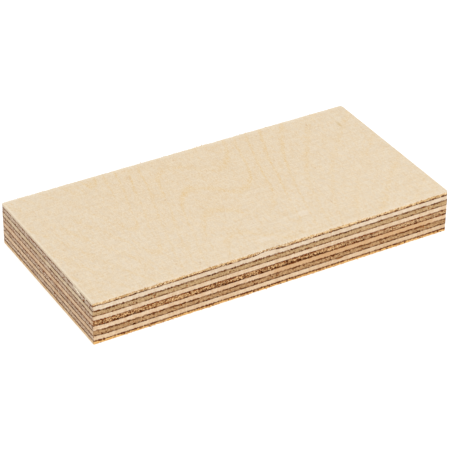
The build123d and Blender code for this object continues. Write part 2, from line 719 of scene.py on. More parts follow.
# %% Ply materials
# END_LOWER weakens the lower glue line on end grain: partly painted light on the ledge of the ply below
END_LOWER = 0.48
GLUE_BROWN = shade(126, 66, 22)
GLUE_DARK = shade(113, 58, 18)
GLUE_DEEP = shade(102, 46, 8)
GLUE_UMBER = shade(98, 60, 26)
AMBER = shade(188, 144, 95)
AMBER_SHARE = 0.66
DUSTY = shade(163, 140, 113)
DUSTY_SHARE = 0.32
STRETCH_CORE = 0.62
GUM_BROWN = shade(150, 98, 50)
GUM_SIZE = (1.5, 0.30)
SPOT_FADE = (0.1, 1.0)


def soft_spot(bench, place, letters, middle, size):
    """One soft oval spot: 1 in its middle and 0 outside, seen along the axis that isn't named."""
    axes = bench.axes(place)
    total = 0.0
    for letter, centre, reach in zip(letters, middle, size):
        offset = bench.math("SUBTRACT", axes[letter], centre * MM)
        scaled = bench.math("DIVIDE", offset, reach * MM)
        total = bench.plus(bench.times(scaled, scaled), total)
    return bench.fall(total, *SPOT_FADE)


def tinted_stretch(bench, place, wood, ends, tint, strength):
    """Wood with another tint between two places along the block, with soft ends."""
    start, end = ends
    middle = (start + end) / 2 * MM
    reach = (end - start) / 2 * MM
    away = bench.math("ABSOLUTE", bench.math("SUBTRACT", bench.axes(place)["X"], middle))
    share = bench.ramp(away, reach * STRETCH_CORE, reach, low=strength, high=0.0)
    return bench.mix(share, wood, tint)


def ply_material(
    node, pale, warm, end_pale, end_dark, gold, gold_share, glue, pores,
    lower=END_LOWER, amber=None, gum=None, dusty=None,
):
    """The sawn wood of one ply, with its glue lines and torn pits."""
    paint, bench = new_material(f"{node}_birch")
    place, vector = grain_vector(bench, node)
    along = long_grain_colour(bench, vector, place, pale, warm)
    if amber:
        along = tinted_stretch(bench, place, along, amber, AMBER, AMBER_SHARE)
    if gum:
        along = bench.mix(soft_spot(bench, place, "XZ", gum, GUM_SIZE), along, GUM_BROWN)
    grain = bench.place(END_GRAIN, Vector=vector, Tear=bench.attribute("tear"))
    across = end_grain_colour(bench, grain, end_pale, end_dark, gold, gold_share)
    if dusty:
        across = tinted_stretch(bench, place, across, dusty, DUSTY, DUSTY_SHARE)
    sawn_finish(bench, place, vector, along, across, grain, pores, glue, lower)
    return paint


print(f"amber and dusty stretches fade over their outer {1 - STRETCH_CORE:.0%}")

# %% [markdown]
# ## Tints of the plies
#
# These colours are the wood itself, before the light falls on it. Even plies show long grain on
# the long sides, in the first two tints, and odd ones show end grain there, in the next three. The
# lower glue line of a ply is often painted fainter on end grain than the upper one: partly painted
# light on the ledge of the ply below, as the upper one is partly painted shadow under the ply above.

# %% Tints of the plies
PLY_TINTS = {
    "lengthwise_ply_2": dict(
        pale=shade(217, 201, 179), warm=shade(200, 178, 151),
        end_pale=shade(214, 194, 173), end_dark=shade(168, 143, 120),
        gold=shade(194, 168, 138), gold_share=0.3, glue=GLUE_DARK, pores=0.45,
    ),
    "crosswise_ply_3": dict(
        pale=shade(218, 199, 170), warm=shade(190, 159, 124),
        end_pale=shade(188, 157, 118), end_dark=shade(152, 120, 81),
        gold=shade(192, 161, 118), gold_share=0.25, glue=GLUE_UMBER, pores=0.45, lower=0.55,
    ),
    "lengthwise_ply_4": dict(
        pale=shade(216, 195, 168), warm=shade(198, 169, 136),
        end_pale=shade(220, 196, 170), end_dark=shade(170, 141, 115),
        gold=shade(166, 136, 110), gold_share=0.45, glue=GLUE_DARK, pores=0.45,
    ),
    "crosswise_ply_5": dict(
        pale=shade(223, 196, 165), warm=shade(195, 160, 125),
        end_pale=shade(217, 177, 127), end_dark=shade(130, 88, 50),
        gold=shade(190, 150, 100), gold_share=0.15, glue=GLUE_BROWN, pores=0.90, lower=1.0,
        dusty=(12.0, 88.0),
    ),
    "lengthwise_ply_6": dict(
        pale=shade(216, 194, 166), warm=shade(199, 166, 131),
        end_pale=shade(232, 208, 182), end_dark=shade(146, 116, 90),
        gold=shade(160, 130, 104), gold_share=0.40, glue=GLUE_DARK, pores=0.45, amber=(-8.0, 53.0),
    ),
    "crosswise_ply_7": dict(
        pale=shade(223, 196, 165), warm=shade(195, 160, 125),
        end_pale=shade(184, 148, 107), end_dark=shade(149, 112, 75),
        gold=shade(180, 140, 96), gold_share=0.08, glue=GLUE_UMBER, pores=0.36, lower=0.65,
    ),
    "lengthwise_ply_8": dict(
        pale=shade(215, 192, 162), warm=shade(197, 166, 131),
        end_pale=shade(228, 205, 179), end_dark=shade(160, 131, 105),
        gold=shade(188, 154, 118), gold_share=0.3, glue=GLUE_DEEP, pores=0.45, gum=(17.9, 2.08),
    ),
}
ply_materials = {node: ply_material(node, **tints) for node, tints in PLY_TINTS.items()}
print(f"{len(ply_materials)} ply materials")

# %% [markdown]
# ## The sanded faces
#
# The broad faces of the outer veneers are pale and nearly even. The figure lies over them in thin
# layers, strongest in the heart of the pattern. A few marks have their own places: a brown streak
# near the far right corner, two pale rubbed spots and three brown flecks. Three edges of the face
# are rubbed a little paler. Each layer is one mix of two colours, which is easy to weaken or leave
# out.

# %% Colour of the sanded faces
FACE_CREAM = shade(217, 202, 180)
FACE_ORANGE = shade(218, 187, 140)
FACE_RING = shade(217, 186, 135)
FACE_SAND = shade(204, 180, 146)
FACE_PALE = shade(228, 214, 190)
FLECK_BROWN = shade(176, 132, 86)
RUBBED_PALE = shade(232, 222, 208)
RIM_PALE = shade(234, 223, 203)
HEART_PLACE = (-2.0, 18.0)
HEART_SIZE = (42.0, 30.0)
HEART_TINT = 0.16
MOTTLE_SHARE = 0.47
RING_HEART = 0.8
RING_SHARES = (0.40, 0.82)
FACE_LAYERS = [
    # a pattern of the face figure, how strong it is and its colour
    ("Grit", 0.66, FACE_PALE),
    ("Scratch", 0.22, FACE_SAND),
    ("Vessel", 0.30, FACE_SAND),
    ("Fleck", 0.35, FLECK_BROWN),
]
FACE_MARKS = [
    # where on the face, how far it reaches each way, its colour and how strong it is
    ((44.0, 16.6), (0.50, 2.2), shade(196, 165, 106), 0.42),
    ((44.1, 20.0), (0.60, 2.2), shade(205, 172, 122), 0.14),
    ((-0.9, -21.2), (3.4, 1.4), RUBBED_PALE, 0.22),
    ((12.7, -15.6), (2.8, 1.3), RUBBED_PALE, 0.28),
    ((-14.0, 6.2), (0.34, 0.34), FLECK_BROWN, 0.35),
    ((-3.0, 22.0), (0.36, 0.36), FLECK_BROWN, 0.30),
    ((-17.0, 20.0), (0.9, 1.6), FLECK_BROWN, 0.12),
]
FACE_RIMS = [
    # the axis across the edge, where the edge lies, how wide the rim is and how strong
    ("X", -BLOCK_LENGTH / 2, 0.9, 0.45),
    ("Y", BLOCK_WIDTH / 2, 1.8, 0.30),
    ("Y", -BLOCK_WIDTH / 2, 1.6, 0.15),
]


def face_colour(bench, vector, place):
    """The broad peeled face, with its rings, fine patterns and marks."""
    figure = bench.place(FACE_FIGURE, Vector=vector)
    heart = soft_spot(bench, place, "XY", HEART_PLACE, HEART_SIZE)
    base = bench.mix(bench.times(heart, HEART_TINT), FACE_CREAM, FACE_ORANGE)
    mottled = bench.mix(bench.times(figure["Mottle"], MOTTLE_SHARE), base, FACE_ORANGE)
    ring_share = bench.times(figure["Ring"], bench.ramp(heart, 0.0, RING_HEART, *RING_SHARES))
    colour = bench.mix(ring_share, mottled, FACE_RING)
    for pattern, share, tone in FACE_LAYERS:
        colour = bench.mix(bench.times(figure[pattern], share), colour, tone)
    for middle, size, tone, share in FACE_MARKS:
        spot = soft_spot(bench, place, "XY", middle, size)
        colour = bench.mix(bench.times(spot, share), colour, tone)
    return colour


def pale_rims(bench, place, wood):
    """A face that is rubbed a little paler close to some of its edges."""
    axes = bench.axes(place)
    for letter, edge, reach, share in FACE_RIMS:
        away = bench.math("ABSOLUTE", bench.math("SUBTRACT", axes[letter], edge * MM))
        near = bench.ramp(away, 0.0, reach * MM, low=share, high=0.0)
        wood = bench.mix(near, wood, RIM_PALE)
    return wood


print(f"{len(FACE_LAYERS)} layers and {len(FACE_MARKS)} marks on a face")

# %% [markdown]
# ## The two face veneers
#
# The outer veneers carry the sanded face as well as sawn edges. The upper part of the top one's
# edge is painted paler towards the face's colour, a painted highlight where the edge turns up to
# the light. The bottom one is more orange at its edge, because the saw comes out there and
# scorches it a little, and its glue line is dark and even.

# %% Face materials
FACE_PORES = 0.90
FACE_LOWER = 0.7
# heights over the lower glue at which the painted highlight on the top veneer's edge comes in
HIGHLIGHT_ACROSS = (0.66, 1.0)
HIGHLIGHT_ALONG = (0.42, 0.92)


def face_material(
    node, end_pale, end_dark, gold, gold_share, edge_pale, edge_warm, glue, edge_highlight=None, even=0.0,
):
    """A face veneer: its peeled face, its sawn edges and the glue line beside it."""
    paint, bench = new_material(f"{node}_birch")
    place, vector = grain_vector(bench, node)
    face = pale_rims(bench, place, face_colour(bench, vector, place))
    edge = long_grain_colour(bench, vector, place, edge_pale, edge_warm)
    grain = bench.place(END_GRAIN, Vector=vector, Tear=bench.attribute("tear"))
    across = end_grain_colour(bench, grain, end_pale, end_dark, gold, gold_share)
    # painted highlight: higher up, the top veneer's edge is mixed towards paler colours
    if edge_highlight:
        height = bench.attribute("over_base")
        edge = bench.mix(bench.ramp(height, *HIGHLIGHT_ALONG), edge, edge_highlight)
        across = bench.mix(bench.ramp(height, *HIGHLIGHT_ACROSS), across, FACE_CREAM)
    along = bench.mix(bench.attribute("side"), face, edge)
    sawn_finish(bench, place, vector, along, across, grain, FACE_PORES, glue, FACE_LOWER, even)
    return paint


ply_materials[TOP_PLY] = face_material(
    TOP_PLY,
    end_pale=shade(226, 201, 162), end_dark=shade(170, 130, 84),
    gold=shade(214, 178, 120), gold_share=0.3,
    edge_pale=shade(224, 209, 187), edge_warm=shade(192, 169, 139),
    glue=GLUE_BROWN, edge_highlight=shade(216, 197, 170),
)
ply_materials[BOTTOM_PLY] = face_material(
    BOTTOM_PLY,
    end_pale=shade(228, 188, 130), end_dark=shade(192, 146, 88),
    gold=shade(216, 168, 98), gold_share=0.5,
    edge_pale=shade(232, 206, 170), edge_warm=shade(198, 160, 113),
    glue=GLUE_DEEP, even=0.75,
)
print(f"{len(ply_materials)} materials in all")

# %% [markdown]
# ## Blank plies
#
# A ply starts as a flat outline with rounded corners. Its edges are divided finely, because the
# saw leaves marks a few tenths of a millimetre long, and then the outline is pulled up row by row
# into a wall. Two broad faces close it. A cube could be divided instead, but then its hidden
# broad faces would hold most of the points.
#
# The work goes on in millimetres, and the mesh is shrunk to metres at the end.

# %% Blank plies
CORNER_RADIUS = 0.25
CORNER_STEPS = 4
WALL_STEP = 0.17
WALL_ROWS = 12
TOP_ARRIS = 0.15
BOTTOM_ARRIS = 0.10
ARRIS_ROWS = 4
UNIT_SQUARE = 0.5  # a grid is given by half the length of its side


def ply_heights(node):
    """The height of a ply's lower and upper face, in millimetres."""
    low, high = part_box(node)
    return low.z / MM, high.z / MM


PLY_HEIGHTS = {node: ply_heights(node) for node in PLIES}


def arris_radius(node):
    """How far the outer edge of a face veneer is rounded over."""
    return {TOP_PLY: TOP_ARRIS, BOTTOM_PLY: BOTTOM_ARRIS}.get(node, 0.0)


def eased_rows(low, high, count):
    """Heights from low to high that lie closer together near both ends."""
    shares = [(1.0 - math.cos(math.pi * row / count)) / 2 for row in range(count + 1)]
    return [low + (high - low) * share for share in shares]


def row_heights(node):
    """The heights of a ply's wall rows, with extra rows round an eased arris."""
    low, high = PLY_HEIGHTS[node]
    arris = arris_radius(node)
    turn = [arris * math.sin(QUARTER_TURN * step / ARRIS_ROWS) for step in range(1, ARRIS_ROWS + 1)]
    if node == TOP_PLY:
        return eased_rows(low, high - arris, WALL_ROWS) + [high - arris + rise for rise in turn]
    if node == BOTTOM_PLY:
        return [low + arris - rise for rise in reversed(turn)] + eased_rows(low + arris, high, WALL_ROWS)
    return eased_rows(low, high, WALL_ROWS)


def ply_outline(height):
    """A bmesh that holds only the block's outline, finely divided, at a height."""
    bm = bmesh.new()
    bmesh.ops.create_grid(bm, x_segments=1, y_segments=1, size=UNIT_SQUARE)
    bmesh.ops.scale(bm, vec=(BLOCK_LENGTH, BLOCK_WIDTH, 1.0), verts=bm.verts)
    bmesh.ops.translate(bm, vec=(0.0, 0.0, height), verts=bm.verts)
    bmesh.ops.bevel(
        bm, geom=list(bm.verts), offset=CORNER_RADIUS, offset_type="OFFSET", affect="VERTICES",
        segments=CORNER_STEPS, profile=0.5, material=-1,
    )
    bmesh.ops.delete(bm, geom=list(bm.faces), context="FACES_ONLY")
    for side in [edge for edge in bm.edges if edge.calc_length() > CORNER_RADIUS]:
        cuts = round(side.calc_length() / WALL_STEP) - 1
        bmesh.ops.subdivide_edges(bm, edges=[side], cuts=cuts)
    return bm


def grow_ring(bm, ring):
    """Pulls new points and edges out of a ring of edges, in place, and gives both."""
    grown = bmesh.ops.extrude_edge_only(bm, edges=ring)["geom"]
    points = [part for part in grown if isinstance(part, bmesh.types.BMVert)]
    reached = set(points)
    edges = [
        part for part in grown
        if isinstance(part, bmesh.types.BMEdge) and reached.issuperset(part.verts)
    ]
    return points, edges


def blank_ply(node):
    """A ply's closed mesh with smooth sawn walls."""
    heights = row_heights(node)
    bm = ply_outline(heights[0])
    ring = list(bm.edges)
    bottom = list(ring)
    for lower, upper in zip(heights, heights[1:]):
        points, ring = grow_ring(bm, ring)
        bmesh.ops.translate(bm, vec=(0.0, 0.0, upper - lower), verts=points)
    bmesh.ops.edgeloop_fill(bm, edges=bottom)
    bmesh.ops.edgeloop_fill(bm, edges=ring)
    bmesh.ops.recalc_face_normals(bm, faces=bm.faces)
    return bm


sample = blank_ply(PLIES[1])
print(f"a blank ply has {len(sample.verts)} points and {len(sample.faces)} faces")
sample.free()

# %% [markdown]
# ## What the saw leaves
#
# Each wall point is moved by up to a few tenths of a millimetre, out of or into the wood. Walls cut
# along the fibres stay nearly flat. Walls cut across them sit a little deeper, are rougher, and
# have pits where bundles of fibres broke out, most of them just above the lower glue line. The
# middle ply is the coarsest, with a smooth patch near the left and a finer right third. Each ply is
# described by a few numbers, and noise does the rest.

# %% Traits of each ply
PLY_TRAITS = {
    "top_face_veneer": dict(recess=0.02, rough=0.07, pits=0.0, line_pits=0.84, line_height=0.25),
    "crosswise_ply_3": dict(recess=0.04, rough=0.03, pits=0.04, line_pits=0.18, line_height=0.20),
    "crosswise_ply_5": dict(recess=0.05, rough=0.06, pits=0.31, line_pits=0.95, line_height=0.34),
    "crosswise_ply_7": dict(recess=0.04, rough=0.03, pits=0.08, line_pits=0.50, line_height=0.24),
    "bottom_face_veneer": dict(recess=0.03, rough=0.07, pits=0.05, line_pits=0.0, line_height=0.20),
}
LENGTHWISE_TRAITS = dict(recess=0.04, rough=0.035, pits=0.09, line_pits=0.22, line_height=0.18)
CORE_PLY = "crosswise_ply_5"
CORE_COARSE = [
    # places along the block, and how coarse the middle ply is there
    (-50.0, 1.15), (-38.0, 1.05), (-34.0, 0.25), (-27.0, 0.25), (-20.0, 1.4),
    (-2.0, 1.3), (10.0, 1.65), (17.0, 0.5), (50.0, 0.5),
]


def smooth(share):
    """A share from 0 to 1 with soft ends."""
    share = min(max(share, 0.0), 1.0)
    return share * share * (3.0 - 2.0 * share)


def traits_of(node):
    """The numbers that describe how a ply was sawn."""
    return PLY_TRAITS.get(node, LENGTHWISE_TRAITS)


def coarseness(node, point):
    """How coarse a ply is at a point. Only the middle one changes along the block."""
    if node != CORE_PLY:
        return 1.0
    for (start, before), (end, after) in zip(CORE_COARSE, CORE_COARSE[1:]):
        if point.x <= end:
            return before + (after - before) * smooth((point.x - start) / (end - start))
    return CORE_COARSE[-1][1]


print(f"{len(PLY_TRAITS)} plies have traits of their own")

# %% [markdown]
# ## Plies that wander
#
# Veneers are pressed together wet with glue, so no glue line is quite straight. All of them rise a
# little at the left end. Near the middle of the front edge the top veneer is torn thin, and the
# first glue line rises there. Noise could do all of it, but the two rises are at places that can
# be seen, so each has its own soft hump.

# %% Glue lines that wander
WANDER_SEED = 17.3
WANDER_LONG = 26.0
WANDER_SHORT = 3.5
WANDER_LONG_DEPTH = 0.055
WANDER_SHORT_DEPTH = 0.012
FIRST_GLUE_LINE = 1
END_RISE = 0.22
END_RISE_FROM = 46.0
FRONT_RISE = 0.45
FRONT_RISE_MIDDLE = -3.0
FRONT_RISE_REACH = 4.2
FRONT_RISE_DEPTH = 4.0


def glue_wander(index, x, y):
    """How far the glue face with this number, counted from the top, strays from its level."""
    if index in (0, len(PLIES)):
        return 0.0
    seed = WANDER_SEED * index
    slow = noise.noise(Vector((x / WANDER_LONG, y / WANDER_LONG, seed)))
    quick = noise.noise(Vector((x / WANDER_SHORT, y / WANDER_SHORT, seed)))
    rise = END_RISE * smooth((-x - END_RISE_FROM) / (BLOCK_LENGTH / 2 - END_RISE_FROM))
    if index == FIRST_GLUE_LINE:
        near_middle = smooth(1.0 - abs(x - FRONT_RISE_MIDDLE) / FRONT_RISE_REACH)
        near_front = smooth(1.0 - (y + BLOCK_WIDTH / 2) / FRONT_RISE_DEPTH)
        rise += FRONT_RISE * near_middle * near_front
    return slow * WANDER_LONG_DEPTH + quick * WANDER_SHORT_DEPTH + rise


torn_rise = glue_wander(FIRST_GLUE_LINE, FRONT_RISE_MIDDLE, -BLOCK_WIDTH / 2)
print(f"the first glue line rises {torn_rise:.2f} mm at the torn stretch")

# %% [markdown]
# ## Pits, chips and knocked corners
#
# A pit is one cell of a scattered pattern. The cell's luck is held against the chance of a tear at
# that place, so pits stay whole and still come in clusters. Chips are wider bites out of the outer
# edges of the two face veneers. Three upright corners have been knocked and are rubbed back, most
# of all near the top. Cutting these with booleans would be slow and leave ragged meshes, so each
# is a depth that the wall points are moved by.

# %% Tears and wear
PIT_CELL = Vector((0.36, 0.36, 0.30))
PIT_REACH = 0.85
PIT_STEEPNESS = 2.2
PIT_SHUFFLE = 91.7
PIT_AT_BASE = 1.4
PIT_LESS_AT_TOP = 0.8
PIT_CLUSTER_WIDTH = 2.2
PIT_CLUSTER_FLATNESS = 3.0
PIT_CLUSTERING = 0.8
PIT_CLUSTER_MOST = 1.9
CHIP_LONG = 2.4
CHIP_LONG_SHARE = 0.6
CHIP_LONG_SEED = 9.0
CHIP_SHORT = 0.6
CHIP_SHORT_SHARE = 0.8
CHIP_SHORT_SEED = 5.0
CHIP_START = 0.02
CHIP_STEEPNESS = 2.0
CHIP_BACK = 0.4
CHIP_DEPTH = {TOP_PLY: 0.30, BOTTOM_PLY: 0.10}
CHIP_HEIGHT = {TOP_PLY: 0.32, BOTTOM_PLY: 0.34}
CORNER_WEAR = [
    # which upright corner, by the signs of its X and Y, and how far it is rubbed back
    ((1.0, -1.0), 0.32),
    ((1.0, 1.0), 0.36),
    ((-1.0, 1.0), 0.12),
]
WEAR_REACH = 0.85
WEAR_HEIGHT = 2.5
WEAR_LOWER_SHARE = 0.35


def divided(point, cell):
    """A point measured in cells."""
    return Vector((point.x / cell.x, point.y / cell.y, point.z / cell.z))


def tear_chance(node, point, lower_gap):
    """How likely the saw is to tear out fibres at a point. Tears come in clusters."""
    traits = traits_of(node)
    low, high = PLY_HEIGHTS[node]
    chance = traits["pits"] * (PIT_AT_BASE - PIT_LESS_AT_TOP * (point.z - low) / (high - low))
    chance += traits["line_pits"] * math.exp(-((lower_gap / traits["line_height"]) ** 2))
    stretched = Vector((point.x, point.y, point.z * PIT_CLUSTER_FLATNESS))
    cluster = 1.0 + PIT_CLUSTERING * noise.noise(stretched / PIT_CLUSTER_WIDTH)
    return chance * coarseness(node, point) * min(max(cluster, 0.0), PIT_CLUSTER_MOST)


def pit_at(point, chance):
    """How deep a torn pit is at a point, from 0 to 1. Chance keeps some pits and drops the others."""
    distances, centres = noise.voronoi(divided(point, PIT_CELL))
    luck = (1.0 + noise.cell(centres[0] * PIT_SHUFFLE)) / 2
    if luck > chance:
        return 0.0
    return smooth((1.0 - distances[0] / PIT_REACH) * PIT_STEEPNESS)


def chip_at(node, point):
    """How much of the outer edge the saw tore off at a point, from 0 to 1."""
    if node not in CHIP_DEPTH:
        return 0.0
    low, high = PLY_HEIGHTS[node]
    gap = high - point.z if node == TOP_PLY else point.z - low
    slow = noise.noise(Vector((point.x / CHIP_LONG, point.y, low * CHIP_LONG_SEED)))
    quick = noise.noise(Vector((point.x / CHIP_SHORT, point.y, low * CHIP_SHORT_SEED)))
    bite = CHIP_LONG_SHARE * slow + CHIP_SHORT_SHARE * quick - CHIP_START
    torn = smooth(bite * CHIP_STEEPNESS) * (CHIP_BACK if point.y > 0.0 else 1.0)
    return torn * math.exp(-((gap / CHIP_HEIGHT[node]) ** 2))


def corner_wear(point):
    """How far a knocked corner is rubbed back at a point, most of all at the top."""
    worn = 0.0
    for (along, across), depth in CORNER_WEAR:
        away = math.hypot(along * BLOCK_LENGTH / 2 - point.x, across * BLOCK_WIDTH / 2 - point.y)
        worn = max(worn, depth * smooth(1.0 - away / WEAR_REACH))
    near_top = smooth(1.0 - (BLOCK_HEIGHT - point.z) / WEAR_HEIGHT)
    return worn * (WEAR_LOWER_SHARE + (1.0 - WEAR_LOWER_SHARE) * near_top)


print(f"chips up to {max(CHIP_DEPTH.values()):.2f} mm deep, {len(CORNER_WEAR)} knocked corners")

# %% [markdown]
# ## Relief of the walls
#
# Long grain has faint level fibre lines, and its edges are eased a little. End grain is set back,
# rough, grooved along the glue and pitted. A bump in the material could stand for it too, but real
# points show in the outline and cast their own small shadows.

# %% Relief of the walls
FIBRE_CELL_LONG = 3.0
FIBRE_CELL_FINE = 0.16
FIBRE_RELIEF = 0.010
EDGE_EASE = 0.035
EDGE_EASE_HEIGHT = 0.05
ROUGH_CELL = Vector((0.42, 0.42, 0.30))
ROUGH_FALL_OFF = 1.0
ROUGH_FINER = 2.0
ROUGH_LAYERS = 3
UPPER_GROOVE = 0.04
LOWER_GROOVE = 0.05
GROOVE_HEIGHT = 0.10
PIT_DEPTH = 0.30


def long_grain_relief(node, point, edge_gap):
    """Height of a wall cut along the fibres: faint fibre lines and slightly eased edges."""
    if runs_lengthwise(node):
        cell = Vector((FIBRE_CELL_LONG, 1.0, FIBRE_CELL_FINE))
    else:
        cell = Vector((1.0, FIBRE_CELL_LONG, FIBRE_CELL_FINE))
    fibre = noise.noise(divided(point, cell)) * FIBRE_RELIEF
    return fibre - EDGE_EASE * math.exp(-edge_gap / EDGE_EASE_HEIGHT)


def end_grain_relief(node, point, upper_gap, lower_gap, pit):
    """Height of a wall cut across the fibres: set back, rough, grooved at the glue and pitted."""
    traits = traits_of(node)
    cells = divided(point, ROUGH_CELL)
    lumps = noise.fractal(cells, ROUGH_FALL_OFF, ROUGH_FINER, ROUGH_LAYERS)
    rough = lumps * traits["rough"] * coarseness(node, point)
    groove = UPPER_GROOVE * math.exp(-upper_gap / GROOVE_HEIGHT)
    groove += LOWER_GROOVE * math.exp(-lower_gap / GROOVE_HEIGHT)
    return rough - traits["recess"] - groove - PIT_DEPTH * pit


print(f"pits up to {PIT_DEPTH:.2f} mm deep")

# %% [markdown]
# ## Sawn plies
#
# Now the blank walls are moved, and the mesh is told what the materials need to know: how much
# end grain a face shows, how far a point lies from the glue, how likely a tear is there, and how
# deep it lies in a pit.

# %% Move the walls
NO_GLUE = 5.0
END_SHARE_GAIN = 1.4
END_SHARE_START = 0.2
PIT_SHARE = 0.38
CHIP_SHADE = 0.10


def outward(x, y):
    """The direction out of the block's side, seen from above."""
    core_x = min(max(x, CORNER_RADIUS - BLOCK_LENGTH / 2), BLOCK_LENGTH / 2 - CORNER_RADIUS)
    core_y = min(max(y, CORNER_RADIUS - BLOCK_WIDTH / 2), BLOCK_WIDTH / 2 - CORNER_RADIUS)
    return Vector((x - core_x, y - core_y, 0.0)).normalized()


def arris_turn(node, height):
    """How far round the eased arris a height lies, from 0 on the wall to 1 on the broad face."""
    low, high = PLY_HEIGHTS[node]
    arris = arris_radius(node)
    if arris == 0.0:
        return 0.0
    rise = height - (high - arris) if node == TOP_PLY else low + arris - height
    return math.asin(min(max(rise / arris, 0.0), 1.0)) / QUARTER_TURN


def glue_sway(node, point):
    """How far a point of a ply rises with the glue faces above and below it."""
    index = PLIES.index(node)
    low, high = PLY_HEIGHTS[node]
    share_up = (point.z - low) / (high - low)
    sway_up = glue_wander(index, point.x, point.y) * share_up
    sway_down = glue_wander(index + 1, point.x, point.y) * (1.0 - share_up)
    return sway_up + sway_down


def saw_walls(bm, node):
    """Moves a blank ply's walls to where the saw left them, and writes the mesh's own values."""
    low, high = PLY_HEIGHTS[node]
    over_base, under_top, pit_layer, tear_layer = [
        bm.verts.layers.float.new(name) for name in ("over_base", "under_top", "pit", "tear")
    ]
    shares = {}
    for vert in bm.verts:
        point = vert.co.copy()
        side = outward(point.x, point.y)
        facing = abs(side.x if runs_lengthwise(node) else side.y)
        end_share = smooth(facing * END_SHARE_GAIN - END_SHARE_START)
        turn = arris_turn(node, point.z)
        wall = math.cos(QUARTER_TURN * turn)
        upper_gap = NO_GLUE if node == TOP_PLY else high - point.z
        lower_gap = NO_GLUE if node == BOTTOM_PLY else point.z - low
        chance = tear_chance(node, point, lower_gap)
        pit = pit_at(point, chance * PIT_SHARE) * end_share
        chip = chip_at(node, point) * end_share
        along = long_grain_relief(node, point, min(upper_gap, lower_gap))
        across = end_grain_relief(node, point, upper_gap, lower_gap, pit)
        relief = (along + (across - along) * end_share) * wall
        inset = arris_radius(node) * (1.0 - wall) + CHIP_DEPTH.get(node, 0.0) * chip + corner_wear(point)
        vert.co = point + side * (relief - inset)
        vert.co.z += glue_sway(node, point) * (1.0 - turn)
        vert[over_base] = lower_gap
        vert[under_top] = upper_gap
        # the pit's depth, which the materials paint red-brown and then nearly black as painted shadow
        vert[pit_layer] = max(pit, CHIP_SHADE * chip) * wall
        vert[tear_layer] = chance * wall
        edge = 1.0 if node == BOTTOM_PLY else wall * wall
        shares[vert] = (end_share * edge, edge)
    return shares


print(f"{len(PLIES)} blank plies to saw")

# %% [markdown]
# ## Finished plies
#
# A sharp edge parts each broad face from the walls, so that their shading doesn't run together,
# and the broad faces show no end grain. Each ply then becomes a piece that rides on the block in
# place of its plain solid, with its own material.

# %% Finish the plies
WALL_FACE_POINTS = 4


def mark_faces(bm, shares):
    """Writes how much end grain each face shows, and parts the broad faces from the walls."""
    end_layer = bm.loops.layers.float.new("end_grain")
    side_layer = bm.loops.layers.float.new("side")
    for face in bm.faces:
        broad = len(face.verts) > WALL_FACE_POINTS
        face.smooth = True
        for loop in face.loops:
            end_share, wall_share = shares[loop.vert]
            loop[end_layer] = 0.0 if broad else end_share
            loop[side_layer] = 0.0 if broad else wall_share
        if broad:
            for edge in face.edges:
                edge.smooth = False


def add_piece(name, bm, material):
    """Shrinks a bmesh from millimetres to metres and makes it a piece that rides on the block."""
    bmesh.ops.scale(bm, vec=(MM, MM, MM), verts=bm.verts)
    mesh = bpy.data.meshes.new(name)
    bm.to_mesh(mesh)
    bm.free()
    mesh.materials.append(material)
    piece = bpy.data.objects.new(name, mesh)
    bpy.context.scene.collection.objects.link(piece)
    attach(piece, "root")
    return piece


def add_ply(node):
    """One finished ply in place of its plain solid."""
    bm = blank_ply(node)
    mark_faces(bm, saw_walls(bm, node))
    piece = add_piece(f"{node}_wood", bm, ply_materials[node])
    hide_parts(node)
    return piece


for node in PLIES:
    piece = add_ply(node)
    print(f"{piece.name}: {len(piece.data.vertices)} points")

# %% [markdown]
# ## Slivers
#
# A saw tears the outermost fibres instead of cutting them, and small slivers stay on the edges. A
# sliver is a small flat ring, pulled out in three steps, narrowed and bent on the way, and closed
# to a point. A hair system could grow them, but it isn't a mesh, and these few shapes, bent more or
# less and copied many times, are enough.

# %% Slivers
SLIVER_SIDES = 4
SLIVER_RADIUS = 0.5
SLIVER_STEPS = [
    # how far out each step ends, and how wide the sliver is there
    (0.40, 0.85), (0.75, 0.60), (1.00, 0.20),
]
SLIVER_FLATNESS = 0.45
SLIVER_BENDS = [0.05, 0.18, -0.14, 0.32]


def sliver_mesh(bend):
    """One sliver that points up from the origin, one unit long and one wide at its root."""
    bm = bmesh.new()
    bmesh.ops.create_circle(bm, cap_ends=True, segments=SLIVER_SIDES, radius=SLIVER_RADIUS)
    bmesh.ops.scale(bm, vec=(1.0, SLIVER_FLATNESS, 1.0), verts=bm.verts)
    edges = list(bm.edges)
    height, width = 0.0, 1.0
    for reach, share in SLIVER_STEPS:
        ring, edges = grow_ring(bm, edges)
        sideways = bend * (reach * reach - height * height)
        bmesh.ops.translate(bm, vec=(sideways, 0.0, reach - height), verts=ring)
        centre = sum((vert.co for vert in ring), Vector()) / len(ring)
        squeeze = share / width
        bmesh.ops.scale(bm, vec=(squeeze, squeeze, 1.0), space=Matrix.Translation(-centre), verts=ring)
        height, width = reach, share
    bmesh.ops.pointmerge(bm, verts=ring, merge_co=centre)
    bmesh.ops.recalc_face_normals(bm, faces=bm.faces)
    mesh = bpy.data.meshes.new("sliver")
    bm.to_mesh(mesh)
    bm.free()
    return mesh


def plant_sliver(bm, template, root, direction, length, width, spin):
    """Copies a sliver into a bmesh, with its root at a place and its tip along a direction."""
    copy = template.copy()
    turn = direction.to_track_quat("Z", "Y").to_matrix().to_4x4()
    size = Matrix.Diagonal((width, width, length, 1.0))
    copy.transform(Matrix.Translation(root) @ turn @ Matrix.Rotation(spin, 4, "Z") @ size)
    bm.from_mesh(copy)
    bpy.data.meshes.remove(copy)


def fibre_material(name, pale, dark):
    """Loose fibres: pale, with darker ones among them."""
    paint, bench = new_material(name)
    place = bench.add("ShaderNodeTexCoord").outputs["Object"]
    grain = bench.place(END_GRAIN, Vector=place)
    wood_surface(bench, bench.mix(grain["Tone"], dark, pale))
    return paint


